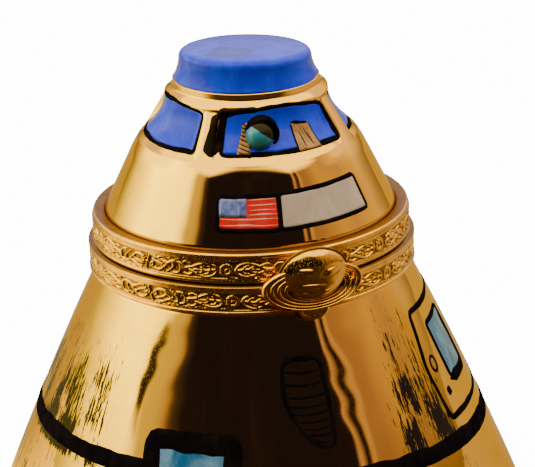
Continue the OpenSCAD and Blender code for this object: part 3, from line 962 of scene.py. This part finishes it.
def makeRim(name, outline, stripLow, node, rides, shift, flip, seamFace):
    bm = lathe(outline, ornament["steps"], closed=True)
    recess = bm.verts.layers.float.new("recess")
    stripHigh = stripLow + ornament["height"]
    outside = rimR - 1.2
    strip = [v for v in bm.verts if stripLow - 0.01 < v.co.z < stripHigh + 0.01 and v.co.xy.length > outside]
    radius = sum(v.co.xy.length for v in strip) / len(strip)
    period = 2 * math.pi * radius / ornament["repeats"]
    along = np.array([math.radians(azimuthOf(v.co) + shift) * radius for v in strip])
    up = np.array([v.co.z - stripLow for v in strip])
    if flip:
        up = ornament["height"] - up
    x = (along + period / 2) % period - period / 2
    raised = foliage(np.abs(x), np.where(x < 0, 1.9 - up, up), period / 2)
    for vert, share, u, w in zip(strip, raised, along, up):
        edge = smooth(0, 0.12, w) * smooth(ornament["height"], ornament["height"] - 0.12, w)
        stipple = 0.25 * noise.noise(Vector((u * 4.5, w * 4.5, shift)))
        sunk = (1 - share) * (0.85 + stipple) * edge
        # painted shade: the engraved ground is darkened, most where the foliage is lowest
        vert[recess] = (1 - smooth(0.02, 0.42, share)) * (0.8 + stipple) * edge
        worn = 0.15 * noise.noise(Vector((u * 0.8, w, shift + 5)))
        scale = 1 - ornament["depth"] * (sunk + worn * edge) / vert.co.xy.length
        vert.co.x *= scale
        vert.co.y *= scale
    for vert in bm.verts:            # the hidden faces in the seam and by the porcelain are painted dark as shade
        inside = vert.co.xy.length < radius - ornament["paintedShadeInset"] or abs(vert.co.z - seamFace) < 0.05
        vert[recess] = 1.0 if inside else vert[recess]
    place(bm, name, rides, [engravedBrass], [node])


def baseRimOutline(stripLow):
    r, low, top = baseRimHigh.x, baseRimLow.z, baseRimHigh.z
    mouth = lidFootR - 2.03
    outline = [(r - 0.7, low), (r - 0.22, low)] + arc((r - 0.24, low + 0.24), 0.24, -80, 78, 7)
    outline += [(r - 0.14, stripLow - 0.06)]
    stripHigh = stripLow + ornament["height"]
    outline += [(r - 0.07, z) for z in between(stripLow, stripHigh, ornament["rows"])]
    outline += [(r - 0.13, stripHigh + 0.05), (r - 0.03, top - 0.42), (r - 0.02, top - 0.12)]
    outline += [(r - 0.12, top), (mouth + 0.1, top), (mouth, top - 0.1), (mouth, top - 1.4)]
    outline += [(mouth + 0.5, top - 1.4), (mouth + 0.5, top - 0.7), (r - 0.7, top - 0.7)]
    return outline


def lidRimOutline(stripLow):
    r, low, top = lidRimHigh.x, lidRimLow.z, lidRimHigh.z
    mouth = lidFootR - 2.03
    outline = [(mouth + 0.1, low), (r - 0.15, low), (r - 0.03, low + 0.1), (r - 0.01, low + 0.25)]
    outline += [(r - 0.03, low + 0.36), (r - 0.13, stripLow - 0.05)]
    stripHigh = stripLow + ornament["height"]
    outline += [(r - 0.06, z) for z in between(stripLow, stripHigh, ornament["rows"])]
    outline += [(r - 0.28, stripHigh + 0.12)] + arc((r - 0.48, top - 0.3), 0.29, -35, 120, 8)
    outline += [(lidFootR + 0.1, top - 0.07), (lidFootR + 0.03, top - 0.16), (lidFootR + 0.03, top - 0.6)]
    outline += [(r - 0.8, top - 0.7), (r - 0.8, low + 0.7), (mouth + 0.5, low + 0.7)]
    outline += [(mouth + 0.5, low + 1.4), (mouth, low + 1.4), (mouth, low + 0.1)]
    return outline


baseStrip, lidStrip = baseRimLow.z + 0.52, lidRimLow.z + 0.48
makeRim("baseRim", baseRimOutline(baseStrip), baseStrip, "base_rim", "base", 29.0, True, baseRimHigh.z)
makeRim("lidRim", lidRimOutline(lidStrip), lidStrip, "lid_rim", "lid", 31.0, False, lidRimLow.z)
print("rims made", flush=True)


# clasp

clasp = {
    "turn": -2.2,                    # the casting is set a little off the front
    "backR": rimR + 0.5,             # inside of the casting, clear of the base rim
    "ringZ": (ringLow.z + ringHigh.z) / 2,
    "halfWide": (ringHigh.x - ringLow.x) / 2,
    "halfHigh": (ringHigh.z - ringLow.z) / 2,
    "ridges": 4,
    "inner": 0.5,                    # share of the ring's width where its ridges stop
    "domeWide": 3.85,
    "domeHigh": 2.95,
    "domeZ": (planetLow.z + planetHigh.z) / 2 + 0.1,
    "domeOut": 1.3,                  # how far the dome stands out of the casting's back
    # marks raised on the planet: across, up, half length, half width, lean in degrees
    "marks": [(-1.2, 0.95, 0.75, 0.17, -3), (1.45, 0.5, 0.8, 0.36, 12), (-0.75, -0.75, 1.5, 0.2, -2),
              (-1.6, -1.55, 0.8, 0.15, -8), (0.9, -1.5, 0.8, 0.12, 8)],
}


def bendRound(bm, inside):
    # wraps what was modelled flat, with its back on the XZ plane, round the rim; -Y is out
    for vert in bm.verts:
        a = vert.co.x / inside + math.radians(clasp["turn"])
        r = inside - vert.co.y
        vert.co = Vector((r * math.sin(a), -r * math.cos(a), vert.co.z))


def makeClaspRing():
    look = clasp
    inner, count = look["inner"], look["ridges"]
    outline = [(inner - 0.1, 0.0), (inner - 0.1, 0.3)]
    for i in range(count):
        low, high = mix(inner, 0.995, i / count), mix(inner, 0.995, (i + 1) / count)
        crest = mix(0.78, 0.62, i / (count - 1))
        outline += [(mix(low, high, t), mix(0.34, crest, math.sin(math.pi * t) ** 0.8))
                    for t in between(0.04, 0.96, 8)]
    outline += [(1.0, 0.25), (1.0, 0.0)]
    bm = lathe(outline, 156, closed=True)
    recess = bm.verts.layers.float.new("recess")
    # painted shade: the ring's inner edge, round the planet, is darkened through the recess attribute
    for vert in bm.verts:
        vert[recess] = 1 - smooth(inner + 0.02, inner + 0.12, vert.co.xy.length)
    faceFront(bm, (look["halfWide"], 1, look["halfHigh"]), look["ringZ"])
    for vert in bm.verts:
        hollow = math.hypot((vert.co.x - 4.05) / 0.42, (vert.co.z - look["ringZ"] - 0.45) / 0.5)
        vert.co.y = min(vert.co.y * (1 - 0.75 * (1 - smooth(0.5, 1.0, hollow))), 0.0)
    bendRound(bm, look["backR"])
    place(bm, "claspRing", "lid", [engravedBrass], ["clasp_ring"])


def makeClaspPlanet():
    look = clasp
    shares = [math.sin(math.radians(a)) for a in between(1.5, 88, 60)]
    outline = [(0.0, look["domeOut"])]
    outline += [(0.93 * t, 0.3 + (look["domeOut"] - 0.3) * (1 - t ** 2.4) ** 0.75) for t in shares]
    outline += [(0.95, 0.27), (0.97, 0.34), (0.99, 0.32), (1.0, 0.24), (1.0, 0.0), (0.0, 0.0)]
    bm = lathe(outline, 156)
    recess = bm.verts.layers.float.new("recess")
    # painted shade: the dome's lip, where it meets the ring, is darkened through the recess attribute
    for vert in bm.verts:
        vert[recess] = smooth(0.9, 0.95, vert.co.xy.length) * 0.9
    faceFront(bm, (look["domeWide"], 1, look["domeHigh"]))
    for vert in bm.verts:
        if vert.co.y > -0.36:
            continue
        raised = 0.0
        for across, up, length, width, lean in look["marks"]:
            a = math.radians(lean)
            dx, dz = vert.co.x - across, vert.co.z - up
            u, w = dx * math.cos(a) + dz * math.sin(a), dz * math.cos(a) - dx * math.sin(a)
            e = math.hypot(u / length, w / width)
            raised += 0.09 * (1 - smooth(0.35, 1.0, e))
            raised -= 0.05 * smooth(0.8, 1.1, e) * (1 - smooth(1.1, 1.9, e))
        vert.co.y -= raised + 0.05 * noise.noise(vert.co * 0.7)
    bmesh.ops.translate(bm, vec=(0, 0, look["domeZ"]), verts=bm.verts)
    bendRound(bm, look["backR"])
    place(bm, "claspPlanet", "lid", [engravedBrass], ["clasp_planet"])


def makeCatchTab():
    half, low, high = tabHigh.x, tabLow.z, tabHigh.z
    points = [(half, high), (-half, high)]
    points += [(-half * math.cos(math.pi * t), low + 1 - math.sin(math.pi * t)) for t in between(0, 1, 24)]
    bm = bmesh.new()
    face = bm.faces.new([bm.verts.new((x, 0, z)) for x, z in points])
    made = bmesh.ops.extrude_face_region(bm, geom=[face])["geom"]
    front = [item for item in made if isinstance(item, bmesh.types.BMFace)]
    bmesh.ops.translate(bm, vec=(0, -0.3, 0), verts=[v for v in made if isinstance(v, bmesh.types.BMVert)])
    for thickness, depth in ((0.14, 0.05), (0.18, 0.0), (0.08, -0.1)):
        bmesh.ops.inset_region(bm, faces=front, thickness=thickness, depth=depth)
    for x in between(-half, half, 10)[1:-1]:
        bmesh.ops.bisect_plane(bm, geom=bm.verts[:] + bm.edges[:] + bm.faces[:], plane_co=(x, 0, 0),
                               plane_no=(1, 0, 0))
    bendRound(bm, rimR + 0.06)
    place(bm, "catchTab", "base", [brass], ["catch_tab"], flat=True)


makeClaspRing()
makeClaspPlanet()
makeCatchTab()
print("clasp made", flush=True)


# port and gear in the front bay

portLow, portHigh = nodeBox("port_ball")
port = {"azimuth": -15.0, "z": (portLow.z + portHigh.z) / 2 - 0.45, "ballR": 1.46, "out": 0.45,
        "collarR": 1.72, "collarShift": (2.0, 0.1)}


def frontPlace(bm, azimuth, z, lift):
    # moves a piece modelled facing -Y at the origin to its place on the shell
    bmesh.ops.translate(bm, vec=(0, -(shellRadius(azimuth, z) + lift), z), verts=bm.verts)
    turn = Matrix.Rotation(math.radians(azimuth), 3, "Z")
    bmesh.ops.rotate(bm, cent=(0, 0, 0), matrix=turn, verts=bm.verts)


def portMaterial():                  # turquoise with its upper right side shaded dark
    material, s = newMaterial("portEnamel")
    position = s.millimetres()
    dimples = dimpled(s, position, 0.03, 0.7, 0.003, 7.0)
    centre = onShell(port["azimuth"], port["z"], port["out"])
    local = s.vector("SUBTRACT", position, tuple(centre))
    parts = s.add("ShaderNodeSeparateXYZ", Vector=local).outputs
    lean = s.plus(s.times(parts[0], 0.62), s.times(parts[2], 0.78))
    wavy = s.plus(lean, s.times(s.noise(position, 1.3, 2.0), 0.35))
    shade = s.range(wavy, 0.42, 0.56)
    tone = s.blend(s.noise(position, 0.9, 3.0), (0.02, 0.20, 0.32), (0.04, 0.30, 0.42))
    tone = s.blend(shade, tone, (0.02, 0.012, 0.006))
    closeMaterial(s, normal=dimples["Normal"], Base_Color=tone, Roughness=0.12, Coat_Weight=0.15,
                  Coat_Roughness=0.05, Specular_IOR_Level=s.range(shade, 0, 1, 0.5, 0.04))
    return material


def makePort():
    ball = bmesh.new()
    bmesh.ops.create_uvsphere(ball, u_segments=48, v_segments=32, radius=port["ballR"])
    frontPlace(ball, port["azimuth"], port["z"], port["out"])
    place(ball, "portBall", "lid", [portMaterial()], ["port_ball"])
    turn, up = port["collarShift"]
    r = port["collarR"]
    outline = [(0.0, 0.45), (r - 0.42, 0.45), (r - 0.36, 0.6)] + arc((r - 0.2, 0.6), 0.2, 160, -10, 8)
    outline += [(r + 0.05, -0.6), (0.0, -0.6)]
    collar = lathe(outline, 60)
    faceFront(collar)
    frontPlace(collar, port["azimuth"] + turn, port["z"] + up, 0.0)
    place(collar, "portCollar", "lid", [blackEnamel], ["port_collar"])


gear = {
    # azimuth and height above the bay's lower edge
    "left": [(-28.4, 0.8), (-21.0, 0.8), (-20.2, 3.7), (-25.4, 3.4)],
    "right": [(6.3, 0.6), (21.4, 0.6), (20.2, 2.9), (7.1, 3.1)],
    "wedges": [[(10.6, 2.4), (11.4, 1.6), (11.6, 0.8)], [(14.6, 2.5), (16.0, 1.7), (17.0, 0.8)]],
}


def inBay(points):
    return [(a, bayLowZ + z) for a, z in points]


def makeGear():
    for side in ("left", "right"):
        enamelPatch("bayGear" + side.capitalize(), "lid", inBay(gear[side]), goldRelief, ["bay_gear_" + side],
                    "gold_relief", lift=0.16, depth=0.02, step=0.2)
    thin = {"lift": 0.2, "wobble": 0.5, "step": 0.15, "taper": 0.2}
    lines = []
    low, lowRight, highRight, high = inBay(gear["left"])
    for t in between(0.04, 0.96, 7):
        a, b = alongPath([high, low], t), alongPath([highRight, lowRight], t)
        lines.append(line([(a[0], a[1] + 0.2), (b[0], b[1] - 0.35)], 0.2, **thin))
    low, lowRight, highRight, high = inBay(gear["right"])
    for start, end, width in ((low, high, 0.2), (lowRight, highRight, 0.18), (high, highRight, 0.4)):
        lines.append(line([start, end], width, **thin))
    for wedge in gear["wedges"]:
        lines.append(line(inBay(wedge), 0.3, lift=0.2, wobble=0.3, taper=0.4, step=0.12))
    strokes("gearLines", "lid", lines)


makePort()
makeGear()
print("front bay made", flush=True)

for node in ("hinge_leaf_base", "hinge_leaf_lid", "hinge_pin", "clasp_mount"):
    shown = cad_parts[node]
    shown.data.materials.clear()
    shown.data.materials.append(brass)


# studio

studio = {
    "floorRadius": 1.5,
    "top": (3.0, 2.6, 0.6),
    "topFrom": 0.71,                 # sine of the height where the light from above begins
    "arch": 0.13,                    # how much sooner it begins beside the dark middle
    "glow": 14.0,                    # what the floor shows to the camera
    "dust": (0.012, 0.007, 0.010),   # faint cloudiness of the dark part
    # by the sine of the height: low down, the ring's marks spread outwards and its light is dimmer
    "squeeze": (0.30, 0.45, 0.88, 1.04),
    "fall": (0.0, 0.28, 0.34, 1.35),
    "sliver": {"azimuth": -60.6, "slant": 25.0, "at": 0.33, "half": 2.6, "cover": 0.997,
               "top": (0.06, 0.03), "foot": (-0.085, -0.03), "colour": (0.03, 0.024, 0.05)},
    # pale behind the part, dark towards the camera, yellower at the left
    "floor": {"pale": (0.30, 0.27, 0.20), "left": (0.95, 0.86, 0.12), "dark": (0.02, 0.012, 0.008),
              "leftAt": -94.0, "leftReach": (40.0, 15.0), "darkReach": (76.0, 48.0)},
    "ring": [                        # azimuth from the camera, colour of the light from there
        (-180, (0.9, 0.74, 0.8)), (-140, (0.9, 0.78, 0.7)), (-125, (1.2, 1.06, 0.5)),
        (-113, (2.6, 2.48, 0.1)), (-100, (2.8, 2.67, 0.1)), (-89, (3.7, 3.50, 0.1)),
        (-74, (3.0, 2.94, 0.1)), (-66, (2.8, 2.76, 0.1)), (-63, (2.3, 2.12, 0.1)),
        (-58.5, (0.72, 0.61, 0.06)), (-53, (0.63, 0.53, 0.06)), (-50, (0.45, 0.33, 0.12)),
        (-47.5, (0.05, 0.037, 0.04)), (-42, (0.011, 0.009, 0.018)), (45.3, (0.011, 0.009, 0.018)),
        (46.6, (0.60, 0.39, 0.25)), (47.6, (0.36, 0.24, 0.16)), (48.5, (0.016, 0.011, 0.014)),
        (50.8, (0.016, 0.011, 0.014)), (52.4, (0.62, 0.41, 0.2)), (55, (0.30, 0.19, 0.12)),
        (61, (0.34, 0.21, 0.13)), (73, (0.58, 0.40, 0.08)), (83, (0.48, 0.33, 0.17)),
        (97, (0.85, 0.61, 0.1)), (105, (1.15, 0.92, 0.45)), (120, (1.1, 0.92, 0.8)),
        (150, (1.0, 0.83, 0.8)), (180, (0.9, 0.74, 0.8)),
    ],
}


def makeStudio():
    world = bpy.data.worlds.new("studio")
    bpy.context.scene.world = world
    world.use_nodes = True
    s = Shader(world.node_tree)
    coords = s.tree.nodes.new("ShaderNodeTexCoord")
    turned = s.add("ShaderNodeVectorRotate", Vector=coords.outputs["Generated"],
                   Angle=math.radians(-camera["azimuth"]))
    parts = s.add("ShaderNodeSeparateXYZ", Vector=turned.outputs[0]).outputs
    azimuth = s.azimuth(parts)
    azimuth = s.times(azimuth, s.range(parts[2], *studio["squeeze"]))
    strongest = max(max(colour) for _, colour in studio["ring"])
    stops = [((a + 180) / 360, tuple(c / strongest for c in colour)) for a, colour in studio["ring"]]
    light = s.vector("SCALE", s.ramp(s.range(azimuth, -180.0, 180.0, soft=False), stops))
    light.node.inputs["Scale"].default_value = strongest
    light = s.vector("MULTIPLY", light, s.range(parts[2], *studio["fall"], soft=False))
    look = studio["sliver"]
    centre = s.plus(look["azimuth"], s.times(s.minus(parts[2], look["at"]), look["slant"]))
    across = s.range(s.math("ABSOLUTE", s.minus(azimuth, centre)), look["half"], look["half"] * 0.4)
    top, foot = [s.range(parts[2], *(look["at"] + reach for reach in look[end])) for end in ("top", "foot")]
    sliver = s.times(s.times(across, s.times(top, foot)), look["cover"])
    light = s.blend(sliver, light, look["colour"])
    cloudy = s.range(s.noise(turned.outputs[0], 4.0, 4.0, 0.6), 0.45, 0.75)
    light = s.vector("ADD", light, s.vector("MULTIPLY", cloudy, studio["dust"]))
    off = s.math("POWER", s.math("DIVIDE", azimuth, 42.0), 2.0)
    lifted = s.plus(parts[2], s.times(s.math("MINIMUM", off, 1.2), studio["arch"]))
    high = s.range(lifted, studio["topFrom"], studio["topFrom"] + 0.1)
    colour = s.blend(high, light, studio["top"])
    level = s.add("ShaderNodeSeparateColor", Color=colour).outputs[0]
    plain = s.add("ShaderNodeCombineColor", Red=level, Green=s.times(level, 0.96),
                  Blue=s.times(level, 0.92)).outputs[0]
    spread = s.tree.nodes.new("ShaderNodeLightPath").outputs["Is Diffuse Ray"]
    colour = s.blend(spread, colour, plain)
    background = s.add("ShaderNodeBackground", Color=colour, Strength=1.0)
    out = s.tree.nodes.new("ShaderNodeOutputWorld")
    s.tree.links.new(background.outputs[0], out.inputs[0])


def makeFloor():
    material, s = newMaterial("paleFloor")
    position = s.millimetres()
    turned = s.add("ShaderNodeVectorRotate", Vector=position, Angle=math.radians(-camera["azimuth"]))
    azimuth = useGroup(s, around, Vector=turned.outputs[0])["Azimuth"]
    look = studio["floor"]
    dark = s.range(s.math("ABSOLUTE", azimuth), *look["darkReach"])
    left = s.range(s.math("ABSOLUTE", s.minus(azimuth, look["leftAt"])), *look["leftReach"])
    tone = s.blend(dark, s.blend(left, look["pale"], look["left"]), look["dark"])
    light = s.tree.nodes.new("ShaderNodeLightPath")
    glow = s.times(light.outputs["Is Camera Ray"], studio["glow"])
    closeMaterial(s, Base_Color=tone, Roughness=0.7, Specular_IOR_Level=0.1, Emission_Color=(1, 1, 1, 1),
                  Emission_Strength=glow)
    bm = bmesh.new()
    bmesh.ops.create_circle(bm, cap_ends=True, segments=96, radius=studio["floorRadius"])
    meshObject(bm, "floor", [material])


makeStudio()
makeFloor()
print("studio made", flush=True)
